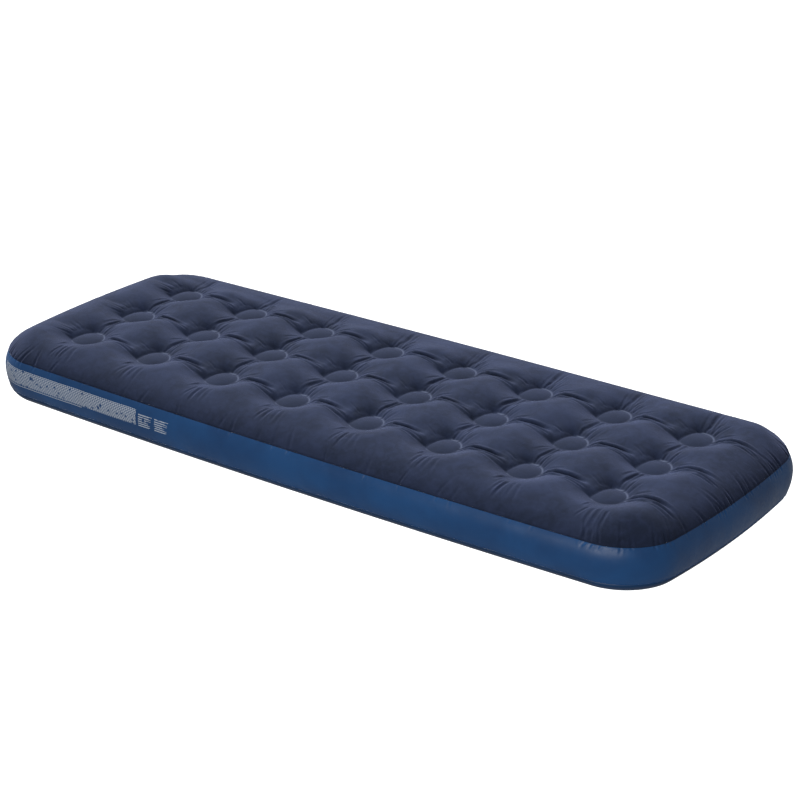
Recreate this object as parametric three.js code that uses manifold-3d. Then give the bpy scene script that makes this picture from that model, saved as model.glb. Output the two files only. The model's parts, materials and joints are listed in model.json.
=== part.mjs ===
// Inflated single air mattress, lying along X on the floor at Z = 0, in millimetres with +Z up.
// A flocked top sheet, a side band and a bottom sheet are lap welded into one air chamber. Upright
// coil beams tie the top and bottom sheets together at round pads, which makes the pillows between
// them. A two-stage screw valve with a check flap sits in the band at the -X end.
import * as THREE from 'three';
import { mergeVertices } from 'three/addons/utils/BufferGeometryUtils.js';
import Module from 'manifold-3d';

// ---- Driving dimensions ----

const LENGTH = 1850;
const WIDTH = 730;
const CORNER_RADIUS = 130;
const END_BARREL = 0.029; // the ends draw in by this share of the half length at the corners
const SIDE_BARREL = 0.05; // the long sides draw in by this share of the half width at the corners

const COLUMNS = 8;
const ROWS = 3;
const PITCH_X = 205.5;
const PITCH_Y = 174;
const PAD_RADIUS = 34;

const SHEET = 0.5; // thickness of every PVC sheet
const LAP_GAP = 0.4; // clearance between the two sheets of a lap
const CONTACT_GAP = 0.3; // clearance between other pieces that touch
const LAP_SHARE = 0.3; // how far a lap runs up the first row of the sheet over it

const WIDEST_Z = 65; // height of the widest line round the side
const CREST_Z = 150; // height of the roll over the edge, before the pillows
const PILLOW_RISE = 8; // the inner pillows stand this much over the edge roll
const ROLL_IN = 120; // how far in from the outline the top edge rolls over
const CURL_IN = 35; // how far in the bottom edge curls under
const TOP_SEAM_Z = 102;
const BOTTOM_SEAM_Z = 30;
const TOP_PAD_Z = 123;
const BOTTOM_PAD_Z = 28;
const TOP_PULL = 96; // reach of a pad's pull on the top sheet, beyond the pad's edge
const CORNER_PULL = 34; // how far the corner of the pillow cells draws in from the square
const BOTTOM_PULL = 51; // the same on the bottom sheet, which the floor flattens
const FLOOR_PRESS = 0.6; // how far the floor presses the bottom pillows flat
const RISE_START = 0.5; // the pillows start to rise this share of ROLL_IN in from the outline

const CELL_STEPS = 3; // mesh steps along each side of a pillow cell
const ARC_STEPS = 2; // mesh steps in each half of a corner arc
const TOP_RINGS = [0.36]; // mesh rings round a top pad, as shares of the way to the cell's border
const BOTTOM_RINGS = [0.5]; // the same round a bottom pad
const TOP_ROW_HEIGHTS = [136, 120, TOP_SEAM_Z]; // mesh rows down the rolled top edge
const BOTTOM_ROW_HEIGHTS = [0, 11, BOTTOM_SEAM_Z]; // mesh rows up the curled bottom edge

const BEAM_WAIST = 27; // radius of a coil beam's tube half way up
const BEAM_END = 32; // radius of its welded ends
const BEAM_WALL = 0.8;
const BEAM_SIDES = 8;
const AIR_HOLE_RADIUS = 5; // air holes through each coil beam
const AIR_HOLE_SIDES = 6;

const VALVE_STEP = 6; // mesh steps along the -X end to the valve, from the +Y corner
const VALVE_PAD_STEP = 0.33; // half width of the flat round the valve, in mesh steps
const VALVE_PAD_HALF = 27; // half height of that flat
const VALVE_SIDES = 24;
const NECK_RADIUS = 20; // outside of the valve's base
const BASE_BORE = 17;
const PLUG_BORE = 11;
const CAP_NECK_RADIUS = 13.5; // neck on the plug that the cap screws on

const NAVY_FLOCK = { color: 0x2c3350, roughness: 0.95, metalness: 0 };
const BLUE_PVC = { color: 0x1f4a7c, roughness: 0.42, metalness: 0 };
const BEAM_PVC = { color: 0x56657a, roughness: 0.5, metalness: 0 };
const VALVE_PVC = { color: 0x16233c, roughness: 0.5, metalness: 0 };
const VALVE_PLASTIC = { color: 0x1c1f26, roughness: 0.38, metalness: 0 };
const SEAL_RUBBER = { color: 0xb9bcc0, roughness: 0.6, metalness: 0 };

// ---- Sizes worked out from them ----

const HALF_LENGTH = LENGTH / 2;
const HALF_WIDTH = WIDTH / 2;
const CELLS_X = COLUMNS * PITCH_X;
const CELLS_Y = ROWS * PITCH_Y;
const STEPS_X = COLUMNS * CELL_STEPS;
const STEPS_Y = ROWS * CELL_STEPS;
const STATIONS = 2 * (STEPS_X + STEPS_Y);

const wasm = await Module();
wasm.setup();

// ---- Meshes and solids ----

const object = new THREE.Group();

function addMesh(parent, name, geometry, finish) {
  const mesh = new THREE.Mesh(geometry, new THREE.MeshStandardMaterial(finish));
  mesh.name = name;
  parent.add(mesh);
  return mesh;
}

function geometryOf(points, faces) {
  const geometry = new THREE.BufferGeometry();
  const coordinates = points.flatMap((point) => point.toArray());
  geometry.setAttribute('position', new THREE.Float32BufferAttribute(coordinates, 3));
  geometry.setIndex(faces.flat());
  geometry.computeVertexNormals();
  return geometry;
}

function solidOf(geometry) {
  const bare = geometry.clone();
  bare.deleteAttribute('normal');
  bare.deleteAttribute('uv');
  const merged = mergeVertices(bare);
  return new wasm.Manifold(new wasm.Mesh({
    numProp: 3,
    vertProperties: Float32Array.from(merged.getAttribute('position').array),
    triVerts: Uint32Array.from(merged.getIndex().array),
  }));
}

function geometryOfSolid(solid) {
  const mesh = solid.getMesh();
  const geometry = new THREE.BufferGeometry();
  geometry.setAttribute('position', new THREE.Float32BufferAttribute(mesh.vertProperties, 3));
  geometry.setIndex(Array.from(mesh.triVerts));
  geometry.computeVertexNormals();
  return geometry;
}

function cut(geometry, tools) {
  return geometryOfSolid(tools.reduce((solid, tool) => solid.subtract(solidOf(tool)), solidOf(geometry)));
}

function join(geometry, additions) {
  return geometryOfSolid(additions.reduce((solid, extra) => solid.add(solidOf(extra)), solidOf(geometry)));
}

// A ring turned round the Y axis from its closed section, given as [radius, height] anticlockwise.
function turnedRing(section, sides) {
  const points = [...section, section[0]].map(([radius, height]) => new THREE.Vector2(radius, height));
  return new THREE.LatheGeometry(points, sides);
}

// ---- Shape of the inflated chamber ----

// Outline at the widest line, after the long sides and the ends barrel outwards.
function barrel(x, y) {
  const along = x / HALF_LENGTH;
  const across = y / HALF_WIDTH;
  return new THREE.Vector3(x * (1 - END_BARREL * across ** 2), y * (1 - SIDE_BARREL * along ** 2), 0);
}

// The four sides in turn, anticlockwise from the front, which faces -Y. Each runs from the middle
// of one corner arc to the middle of the next.
const SIDES = [
  { steps: STEPS_X, half: HALF_LENGTH, reach: HALF_WIDTH, along: [1, 0], out: [0, -1] },
  { steps: STEPS_Y, half: HALF_WIDTH, reach: HALF_LENGTH, along: [0, 1], out: [1, 0] },
  { steps: STEPS_X, half: HALF_LENGTH, reach: HALF_WIDTH, along: [-1, 0], out: [0, 1] },
  { steps: STEPS_Y, half: HALF_WIDTH, reach: HALF_LENGTH, along: [0, -1], out: [-1, 0] },
];

function outlinePoint(side, step) {
  const straight = 2 * (side.half - CORNER_RADIUS);
  const past = Math.min(step - ARC_STEPS, 0) + Math.max(step - side.steps + ARC_STEPS, 0);
  const share = (step - past - ARC_STEPS) / (side.steps - 2 * ARC_STEPS);
  const angle = (past / ARC_STEPS) * (Math.PI / 4);
  const along = straight * (share - 0.5) + CORNER_RADIUS * Math.sin(angle);
  const out = side.reach - CORNER_RADIUS * (1 - Math.cos(angle));
  return barrel(along * side.along[0] + out * side.out[0], along * side.along[1] + out * side.out[1]);
}

// The horizontal direction square to the outline, towards the inside.
function inwardAt(side, step) {
  const small = 0.01;
  const tangent = outlinePoint(side, step + small).sub(outlinePoint(side, step - small)).normalize();
  return new THREE.Vector3(-tangent.y, tangent.x, 0);
}

// Lattice point of the pillow cells, [0, 0] at the -X -Y corner. The four outermost points draw in
// to keep clear of the rounded corners.
function latticePoint(i, j) {
  const point = new THREE.Vector3((i / STEPS_X - 0.5) * CELLS_X, (j / STEPS_Y - 0.5) * CELLS_Y, 0);
  const atCorner = i % STEPS_X === 0 && j % STEPS_Y === 0;
  return atCorner ? point.multiplyScalar(1 - CORNER_PULL / point.length()) : point;
}

const EDGE_LATTICE = [
  (step) => [step, 0],
  (step) => [STEPS_X, step],
  (step) => [STEPS_X - step, STEPS_Y],
  (step) => [0, STEPS_Y - step],
];

// A station pairs a point of the outline with a point on the edge of the pillow cells.
const stations = SIDES.flatMap((side, s) => Array.from({ length: side.steps }, (_, step) => (
  { lattice: EDGE_LATTICE[s](step), outer: outlinePoint(side, step), inward: inwardAt(side, step) })));

function stationPoint(station, inset, z) {
  return station.outer.clone().addScaledVector(station.inward, inset).setZ(z);
}

// The side's section is a quarter ellipse over the widest line and another under it.
function sectionAt(z) {
  const reach = z > WIDEST_Z ? ROLL_IN : CURL_IN;
  const rise = z > WIDEST_Z ? CREST_Z - WIDEST_Z : WIDEST_Z;
  return { inset: reach * (1 - Math.sqrt(1 - ((z - WIDEST_Z) / rise) ** 2)), z };
}

function rollHeight(inset) {
  const t = 1 - Math.min(inset / ROLL_IN, 1);
  return WIDEST_Z + (CREST_Z - WIDEST_Z) * Math.sqrt(1 - t ** 2);
}

const padCentres = [];
for (let row = 0; row < ROWS; row += 1) {
  for (let column = 0; column < COLUMNS; column += 1) {
    padCentres.push({
      row,
      column,
      x: (column - (COLUMNS - 1) / 2) * PITCH_X,
      y: (row - (ROWS - 1) / 2) * PITCH_Y,
    });
  }
}

// How much of the full height is left at a point between the pads: 0 on a pad, 1 beyond its pull.
function pillowShare(x, y, pull) {
  let share = 1;
  for (const centre of padCentres) {
    const beyond = Math.max(Math.hypot(x - centre.x, y - centre.y) - PAD_RADIUS, 0) / pull;
    share *= 1 - Math.max(1 - beyond, 0) ** 2;
  }
  return share;
}

// How far a point lies inside the outline.
function insetOf(x, y) {
  const edge = barrel(Math.sign(x) * HALF_LENGTH, Math.sign(y) * HALF_WIDTH);
  const end = HALF_LENGTH - (HALF_LENGTH - Math.abs(edge.x)) * (y / HALF_WIDTH) ** 2 - Math.abs(x);
  const side = HALF_WIDTH - (HALF_WIDTH - Math.abs(edge.y)) * (x / HALF_LENGTH) ** 2 - Math.abs(y);
  const fromCentre = Math.hypot(Math.max(CORNER_RADIUS - end, 0), Math.max(CORNER_RADIUS - side, 0));
  return end < CORNER_RADIUS && side < CORNER_RADIUS ? CORNER_RADIUS - fromCentre : Math.min(end, side);
}

function topHeight(x, y, inset) {
  const inner = Math.min(Math.max(inset / ROLL_IN - RISE_START, 0), 1);
  const full = rollHeight(inset) + PILLOW_RISE * inner;
  const share = pillowShare(x, y, TOP_PULL);
  return inset < ROLL_IN * RISE_START ? full : TOP_PAD_Z + (full - TOP_PAD_Z) * share;
}

function bottomHeight(x, y) {
  return Math.max(BOTTOM_PAD_Z * (1 - pillowShare(x, y, BOTTOM_PULL)) - FLOOR_PRESS, 0);
}

// ---- Welded sheets ----

// Collects shared vertices by name, so neighbouring cells meet exactly.
class Skin {
  constructor() {
    this.points = [];
    this.faces = [];
    this.known = new Map();
  }

  vertex(key, make) {
    if (!this.known.has(key)) {
      this.known.set(key, this.points.length);
      this.points.push(make());
    }
    return this.known.get(key);
  }

  // A band of triangles between two rings of equal count, facing up where inner is inside outer.
  // A flipped band faces the other way on the same triangles.
  band(inner, outer, flipped = false) {
    for (let k = 0; k < inner.length; k += 1) {
      const next = (k + 1) % inner.length;
      const pair = [[inner[k], outer[k], outer[next]], [inner[k], outer[next], inner[next]]];
      this.faces.push(...(flipped ? pair.map((face) => face.toReversed()) : pair));
    }
  }

  flip() {
    this.faces = this.faces.map(([a, b, c]) => [a, c, b]);
  }

  // Gives the skin a thickness behind its facing side, and closes it along its free border.
  thicken(thickness, border) {
    const normals = geometryOf(this.points, this.faces).getAttribute('normal');
    const count = this.points.length;
    const behind = this.points.map((point, k) => {
      const normal = new THREE.Vector3().fromBufferAttribute(normals, k);
      return point.clone().addScaledVector(normal, -thickness);
    });
    const back = this.faces.map(([a, b, c]) => [a + count, c + count, b + count]);
    const edge = border.flatMap((a, k) => {
      const b = border[(k + 1) % border.length];
      return [[a, a + count, b + count], [a, b + count, b]];
    });
    return geometryOf([...this.points, ...behind], [...this.faces, ...back, ...edge]);
  }
}

// The lattice steps round one pillow cell, anticlockwise from its -X -Y corner.
function cellBorder(column, row) {
  const i = column * CELL_STEPS;
  const j = row * CELL_STEPS;
  const border = [];
  for (let k = 0; k < CELL_STEPS; k += 1) border.push([i + k, j]);
  for (let k = 0; k < CELL_STEPS; k += 1) border.push([i + CELL_STEPS, j + k]);
  for (let k = 0; k < CELL_STEPS; k += 1) border.push([i + CELL_STEPS - k, j + CELL_STEPS]);
  for (let k = 0; k < CELL_STEPS; k += 1) border.push([i, j + CELL_STEPS - k]);
  return border;
}

// A sheet over all the pillow cells: a flat pad in each, then rings at the given shares of the way
// from the pad's edge to the cell's border, then the margin rows out to the seam.
function chamberSheet(padZ, heightAt, ringShares, marginRows) {
  const skin = new Skin();
  const latticeVertex = ([i, j]) => skin.vertex(`lattice ${i} ${j}`, () => {
    const point = latticePoint(i, j);
    return point.setZ(heightAt(point.x, point.y));
  });
  for (const { row, column, x, y } of padCentres) {
    const border = cellBorder(column, row);
    const centre = new THREE.Vector3(x, y, padZ);
    const ringPoint = (share, [i, j]) => {
      const offset = latticePoint(i, j).sub(centre).setZ(0);
      const radius = PAD_RADIUS + (offset.length() - PAD_RADIUS) * share;
      const point = centre.clone().addScaledVector(offset.normalize(), radius);
      return point.setZ(share === 0 ? padZ : heightAt(point.x, point.y));
    };
    const ringAt = (share) => border.map((lattice, k) => (
      skin.vertex(`ring ${share} ${row} ${column} ${k}`, () => ringPoint(share, lattice))));
    const middle = skin.vertex(`middle ${row} ${column}`, () => centre);
    let inner = ringAt(0);
    inner.forEach((a, k) => skin.faces.push([middle, a, inner[(k + 1) % inner.length]]));
    for (const share of ringShares) {
      const ring = ringAt(share);
      skin.band(inner, ring);
      inner = ring;
    }
    skin.band(inner, border.map(latticeVertex));
  }
  let inner = stations.map((station) => latticeVertex(station.lattice));
  for (const row of marginRows) {
    const ring = stations.map((station, k) => skin.vertex(`row ${row.z} ${k}`, () => (
      stationPoint(station, row.inset, row.z))));
    skin.band(inner, ring);
    inner = ring;
  }
  return { skin, border: inner };
}

const TOP_ROWS = TOP_ROW_HEIGHTS.map(sectionAt);
const BOTTOM_ROWS = BOTTOM_ROW_HEIGHTS.map(sectionAt);

function topSheet() {
  const { skin, border } = chamberSheet(
    TOP_PAD_Z, (x, y) => topHeight(x, y, insetOf(x, y)), TOP_RINGS, TOP_ROWS);
  return skin.thicken(SHEET, border);
}

function bottomSheet() {
  const { skin, border } = chamberSheet(
    BOTTOM_PAD_Z - FLOOR_PRESS, bottomHeight, BOTTOM_RINGS, BOTTOM_ROWS);
  skin.flip();
  return skin.thicken(SHEET, border.toReversed());
}

// A point of a lap, behind the first row of the sheet that covers it and parallel to that row.
function lapPoint(seam, next, share) {
  const chord = new THREE.Vector2(next.inset - seam.inset, next.z - seam.z);
  const clear = (SHEET + LAP_GAP) / chord.length();
  return {
    inset: seam.inset + chord.x * share + Math.abs(chord.y) * clear,
    z: seam.z + chord.y * share - chord.x * Math.sign(chord.y) * clear,
  };
}

const VALVE_TOP_Z = WIDEST_Z + VALVE_PAD_HALF;
const VALVE_BOTTOM_Z = WIDEST_Z - VALVE_PAD_HALF;

function bandSection() {
  const [, topNext, topSeam] = TOP_ROWS;
  const [, bottomNext, bottomSeam] = BOTTOM_ROWS;
  const behind = ({ inset, z }) => ({ inset: inset + SHEET + LAP_GAP, z });
  return [
    lapPoint(bottomSeam, bottomNext, LAP_SHARE),
    lapPoint(bottomSeam, bottomNext, 0),
    behind(sectionAt(VALVE_BOTTOM_Z)),
    behind(sectionAt(WIDEST_Z)),
    behind(sectionAt(VALVE_TOP_Z)),
    lapPoint(topSeam, topNext, 0),
    lapPoint(topSeam, topNext, LAP_SHARE),
  ];
}

// The valve sits on the last side, which is the -X end.
const VALVE_STATION = STATIONS - STEPS_Y + VALVE_STEP;
const valveAnchor = stationPoint(stations[VALVE_STATION], SHEET + LAP_GAP, WIDEST_Z);

function sideBand() {
  const section = bandSection();
  const rows = section.map(() => ({ face: [], back: [] }));
  const addStation = (place, flat) => section.forEach(({ inset, z }, k) => {
    const face = place(inset, z);
    const back = place(inset + SHEET, z);
    if (flat && z <= VALVE_TOP_Z && z >= VALVE_BOTTOM_Z) {
      face.x = valveAnchor.x;
      back.x = valveAnchor.x + SHEET;
    }
    rows[k].face.push(face);
    rows[k].back.push(back);
  });
  const between = (k, share) => (inset, z) => stationPoint(stations[k], inset, z)
    .lerp(stationPoint(stations[k + 1], inset, z), share);
  for (let k = 0; k < STATIONS; k += 1) {
    addStation((inset, z) => stationPoint(stations[k], inset, z), k === VALVE_STATION);
    if (k === VALVE_STATION - 1) addStation(between(k, 1 - VALVE_PAD_STEP), true);
    if (k === VALVE_STATION) addStation(between(k, VALVE_PAD_STEP), true);
  }
  const skin = new Skin();
  const ringsOf = (side) => rows.map((row, r) => (
    row[side].map((point, k) => skin.vertex(`${side} ${r} ${k}`, () => point))));
  const face = ringsOf('face');
  const back = ringsOf('back');
  for (let r = 1; r < rows.length; r += 1) {
    skin.band(face[r], face[r - 1]);
    skin.band(back[r], back[r - 1], true);
  }
  skin.band(back.at(-1), face.at(-1));
  skin.band(face[0], back[0]);
  return geometryOf(skin.points, skin.faces);
}

// ---- Coil beams ----

// Every beam is a waisted tube between a top pad and a bottom pad, with two air holes in its wall.
function coilBeam() {
  const top = TOP_PAD_Z - SHEET - CONTACT_GAP;
  const bottom = BOTTOM_PAD_Z - FLOOR_PRESS + SHEET + CONTACT_GAP;
  const middle = (top + bottom) / 2;
  const tube = turnedRing([
    [BEAM_END - BEAM_WALL, bottom],
    [BEAM_END, bottom],
    [BEAM_WAIST, middle],
    [BEAM_END, top],
    [BEAM_END - BEAM_WALL, top],
    [BEAM_WAIST - BEAM_WALL, middle],
  ], BEAM_SIDES);
  const drill = new THREE.CylinderGeometry(
    AIR_HOLE_RADIUS, AIR_HOLE_RADIUS, 3 * BEAM_END, AIR_HOLE_SIDES);
  drill.rotateX(Math.PI / 2).rotateY(Math.PI / BEAM_SIDES).translate(0, (middle + top) / 2, 0);
  return cut(tube, [drill]).rotateX(Math.PI / 2);
}

// ---- Two-stage valve ----
// Sections are [radius, distance out of the wall]. The group below turns them so that out is -X.

const BASE = { inner: -14, flangeRadius: 25, flangeThickness: 1.5, top: 8 };
const RIM = { radius: 21.5, start: 5, chamfer: 0.6 }; // round the mouth of the base
const GASKET = { innerRadius: 17.2, outerRadius: 20.8 };
const PLUG = { radius: 16.6, inner: -11, flangeRadius: 22, flangeStart: 9.4, flangeTop: 11.2, top: 17.5 };
const SEAT = { radius: 9, thickness: 1.5, barWidth: 1.8, barOverlap: 0.75 };
const CAP = { radius: 17, skirtStart: 11.9, ceiling: 17.8, top: 19.8, wall: 3.1, chamfer: 1 };
const GRIP = { length: 25, width: 3.5, height: 3 };
const FLAP = { radius: 10.4, thickness: 1, tabHalf: 2.5, tabTop: 12.4 };
const RING_WIDTH = 2; // radial width of each tether ring
const RING_HEIGHT = 1.6;
const TETHER = { width: 5, thickness: 1.1, steps: 8 };
const PLUG_STRAP_BULGE = 34; // how far from the valve's axis each strap's loop is drawn out
const CAP_STRAP_BULGE = 31;
const CAP_STRAP_ROOT = 0.9; // the cap's strap starts this far inside the edge of the plug's flange
const CAP_STRAP_LIFT = 1.2; // and it meets its ring this much above the ring's middle

function valveBase() {
  const flangeFace = -SHEET - CONTACT_GAP;
  return turnedRing([
    [BASE_BORE, BASE.inner],
    [NECK_RADIUS, BASE.inner],
    [NECK_RADIUS, flangeFace - BASE.flangeThickness],
    [BASE.flangeRadius, flangeFace - BASE.flangeThickness],
    [BASE.flangeRadius, flangeFace],
    [NECK_RADIUS, flangeFace],
    [NECK_RADIUS, RIM.start],
    [RIM.radius, RIM.start + RIM.chamfer],
    [RIM.radius, BASE.top],
    [BASE_BORE, BASE.top],
  ], VALVE_SIDES);
}

function valvePlug() {
  const seatTop = PLUG.inner + SEAT.thickness;
  const shell = turnedRing([
    [SEAT.radius, PLUG.inner],
    [PLUG.radius, PLUG.inner],
    [PLUG.radius, PLUG.flangeStart],
    [PLUG.flangeRadius, PLUG.flangeStart],
    [PLUG.flangeRadius, PLUG.flangeTop],
    [CAP_NECK_RADIUS, PLUG.flangeTop],
    [CAP_NECK_RADIUS, PLUG.top],
    [PLUG_BORE, PLUG.top],
    [PLUG_BORE, seatTop],
    [SEAT.radius, seatTop],
  ], VALVE_SIDES);
  const bars = [0, Math.PI / 2].map((turn) => {
    const bar = new THREE.BoxGeometry(
      2 * (SEAT.radius + SEAT.barOverlap), SEAT.thickness, SEAT.barWidth);
    bar.translate(0, PLUG.inner + SEAT.thickness / 2, 0);
    return bar.rotateY(turn + Math.PI / 4);
  });
  return join(shell, bars);
}

function valveCap() {
  const shell = new THREE.LatheGeometry([
    [0, CAP.ceiling],
    [CAP.radius - CAP.wall, CAP.ceiling],
    [CAP.radius - CAP.wall, CAP.skirtStart],
    [CAP.radius, CAP.skirtStart],
    [CAP.radius, CAP.top - CAP.chamfer],
    [CAP.radius - CAP.chamfer, CAP.top],
    [0, CAP.top],
  ].map(([radius, height]) => new THREE.Vector2(radius, height)), VALVE_SIDES);
  const grip = new THREE.BoxGeometry(GRIP.width, GRIP.height + CAP.chamfer, GRIP.length);
  grip.translate(0, CAP.top + (GRIP.height - CAP.chamfer) / 2, 0);
  return join(shell, [grip]);
}

// A round flap with a hinge tab at its upper edge, closed against the inner end of the plug.
function checkFlap() {
  const outline = new THREE.Shape();
  const meet = Math.asin(FLAP.tabHalf / FLAP.radius);
  outline.absarc(0, 0, FLAP.radius, Math.PI / 2 + meet, Math.PI / 2 - meet + 2 * Math.PI, false);
  outline.lineTo(FLAP.tabHalf, FLAP.tabTop);
  outline.lineTo(-FLAP.tabHalf, FLAP.tabTop);
  outline.closePath();
  const solid = { depth: FLAP.thickness, bevelEnabled: false, curveSegments: VALVE_SIDES };
  const flap = new THREE.ExtrudeGeometry(outline, solid);
  // The outline's up becomes the valve group's up, and its depth runs into the chamber.
  return flap.rotateX(Math.PI / 2).translate(0, PLUG.inner - CONTACT_GAP, 0);
}

function tetherRing(innerRadius, start) {
  return turnedRing([
    [innerRadius, start],
    [innerRadius + RING_WIDTH, start],
    [innerRadius + RING_WIDTH, start + RING_HEIGHT],
    [innerRadius, start + RING_HEIGHT],
  ], VALVE_SIDES);
}

// A flexible strap that loops outwards between two rings, from the lower end to the upper one.
function tetherStrap(lower, upper, bulge) {
  const path = new THREE.CubicBezierCurve(
    new THREE.Vector2(lower.radius, lower.out),
    new THREE.Vector2(bulge, lower.out),
    new THREE.Vector2(bulge, upper.out),
    new THREE.Vector2(upper.radius, upper.out),
  );
  const offsetBy = (distance) => Array.from({ length: TETHER.steps + 1 }, (_, k) => {
    const tangent = path.getTangent(k / TETHER.steps);
    const across = new THREE.Vector2(-tangent.y, tangent.x);
    return path.getPoint(k / TETHER.steps).addScaledVector(across, distance);
  });
  const half = TETHER.thickness / 2;
  const ribbon = new THREE.Shape([...offsetBy(-half), ...offsetBy(half).toReversed()]);
  const strap = new THREE.ExtrudeGeometry(ribbon, { depth: TETHER.width, bevelEnabled: false });
  return strap.translate(0, 0, -TETHER.width / 2);
}

const BASE_RING_START = 2;
const PLUG_RING_START = PLUG.flangeStart + 0.1;
const CAP_RING_START = CAP.skirtStart + 0.8;
const PLUG_RING_RADIUS = PLUG.flangeRadius + CONTACT_GAP;

function addValve(parent) {
  const valve = new THREE.Group();
  valve.position.copy(valveAnchor);
  valve.rotation.z = Math.PI / 2;
  parent.add(valve);
  addMesh(valve, 'valve_base', valveBase(), VALVE_PVC);
  addMesh(valve, 'valve_gasket', turnedRing([
    [GASKET.innerRadius, BASE.top + CONTACT_GAP],
    [GASKET.outerRadius, BASE.top + CONTACT_GAP],
    [GASKET.outerRadius, PLUG.flangeStart - CONTACT_GAP],
    [GASKET.innerRadius, PLUG.flangeStart - CONTACT_GAP],
  ], VALVE_SIDES), SEAL_RUBBER);
  addMesh(valve, 'valve_plug', valvePlug(), VALVE_PLASTIC);
  addMesh(valve, 'check_flap', checkFlap(), SEAL_RUBBER);
  addMesh(valve, 'valve_cap', valveCap(), VALVE_PLASTIC);
  addMesh(valve, 'base_tether_ring', tetherRing(NECK_RADIUS + CONTACT_GAP, BASE_RING_START), VALVE_PVC);
  addMesh(valve, 'plug_tether_ring', tetherRing(PLUG_RING_RADIUS, PLUG_RING_START), VALVE_PVC);
  addMesh(valve, 'cap_tether_ring', tetherRing(CAP.radius + CONTACT_GAP, CAP_RING_START), VALVE_PVC);
  const plugStrap = tetherStrap(
    { radius: NECK_RADIUS + RING_WIDTH + 2 * CONTACT_GAP, out: BASE_RING_START + RING_HEIGHT / 2 },
    { radius: PLUG_RING_RADIUS + RING_WIDTH + CONTACT_GAP, out: PLUG_RING_START + RING_HEIGHT / 2 },
    PLUG_STRAP_BULGE,
  );
  addMesh(valve, 'plug_tether_strap', plugStrap.rotateY(Math.PI / 2), VALVE_PVC);
  const capStrapRoot = PLUG.flangeRadius - CAP_STRAP_ROOT;
  const capStrapEnd = CAP.radius + RING_WIDTH + 2 * CONTACT_GAP;
  const capStrap = tetherStrap(
    { radius: capStrapRoot, out: PLUG.flangeTop + CONTACT_GAP + TETHER.thickness / 2 },
    { radius: capStrapEnd, out: CAP_RING_START + CAP_STRAP_LIFT + RING_HEIGHT / 2 },
    CAP_STRAP_BULGE,
  );
  addMesh(valve, 'cap_tether_strap', capStrap.rotateY(-Math.PI / 2), VALVE_PVC);
}

// ---- Assembly ----

const neckHole = new THREE.CylinderGeometry(
  NECK_RADIUS + CONTACT_GAP, NECK_RADIUS + CONTACT_GAP, NECK_RADIUS, VALVE_SIDES);
neckHole.rotateZ(Math.PI / 2).translate(valveAnchor.x, valveAnchor.y, valveAnchor.z);

const mattress = new THREE.Group();
object.add(mattress);
addMesh(mattress, 'top_sheet', topSheet(), NAVY_FLOCK);
addMesh(mattress, 'bottom_sheet', bottomSheet(), BLUE_PVC);
addMesh(mattress, 'side_band', cut(sideBand(), [neckHole]), BLUE_PVC);
const beam = coilBeam();
for (const { row, column, x, y } of padCentres) {
  const name = `coil_beam_${row + 1}_${column + 1}`;
  addMesh(mattress, name, beam, BEAM_PVC).position.set(x, y, 0);
}
addValve(mattress);

// The valve stands out of the -X end, so the mattress moves over to centre its whole box on X = 0.
const box = new THREE.Box3().setFromObject(mattress, true);
mattress.position.x = -(box.min.x + box.max.x) / 2;

export default object;
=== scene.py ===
import json
import math

import bmesh
import bpy
import numpy as np
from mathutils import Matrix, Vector

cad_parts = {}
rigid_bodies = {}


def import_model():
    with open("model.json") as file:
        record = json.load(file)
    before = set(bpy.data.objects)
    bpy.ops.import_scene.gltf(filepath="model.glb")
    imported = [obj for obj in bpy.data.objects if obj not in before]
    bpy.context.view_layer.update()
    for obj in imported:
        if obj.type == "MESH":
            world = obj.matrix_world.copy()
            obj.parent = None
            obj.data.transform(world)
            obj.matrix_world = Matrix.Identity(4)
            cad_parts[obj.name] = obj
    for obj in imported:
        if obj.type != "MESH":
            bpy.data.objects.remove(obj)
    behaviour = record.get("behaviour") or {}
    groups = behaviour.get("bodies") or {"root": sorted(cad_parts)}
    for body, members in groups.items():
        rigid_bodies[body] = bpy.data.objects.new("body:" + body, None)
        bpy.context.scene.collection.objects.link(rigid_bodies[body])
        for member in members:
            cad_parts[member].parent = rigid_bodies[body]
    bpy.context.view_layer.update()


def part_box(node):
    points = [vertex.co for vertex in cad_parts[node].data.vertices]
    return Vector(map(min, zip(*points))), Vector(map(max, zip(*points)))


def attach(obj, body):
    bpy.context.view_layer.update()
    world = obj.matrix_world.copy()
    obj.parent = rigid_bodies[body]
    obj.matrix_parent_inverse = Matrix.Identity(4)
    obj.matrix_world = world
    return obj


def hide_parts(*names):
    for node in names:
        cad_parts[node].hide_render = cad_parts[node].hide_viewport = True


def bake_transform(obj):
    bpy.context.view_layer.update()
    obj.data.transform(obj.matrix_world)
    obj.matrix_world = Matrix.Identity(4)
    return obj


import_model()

# ---- Places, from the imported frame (metres) ----

ROWS, COLUMNS = 3, 8
beam_boxes = [[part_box(f"coil_beam_{row + 1}_{column + 1}") for column in range(COLUMNS)]
              for row in range(ROWS)]
top_low, top_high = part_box("top_sheet")
MIDDLE_X = (top_low.x + top_high.x) / 2
PADS = np.array([[((low + high) / 2)[:2] for low, high in line] for line in beam_boxes]) - [MIDDLE_X, 0]
PITCH_X = (PADS[0, -1, 0] - PADS[0, 0, 0]) / (COLUMNS - 1)
PITCH_Y = (PADS[-1, 0, 1] - PADS[0, 0, 1]) / (ROWS - 1)
PILLOW_Z = top_high.z
SHEET = 0.0005  # thickness of the sheets
CONTACT_GAP = 0.0003  # between pieces that touch
BASE_TOP = 0.008  # the valve's base stands this far out of the wall
base_low, base_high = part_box("valve_base")
VALVE = Vector((base_low.x + BASE_TOP, (base_low.y + base_high.y) / 2, (base_low.z + base_high.z) / 2))
TOP_PAD_Z = beam_boxes[0][0][1].z + CONTACT_GAP + SHEET
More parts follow.
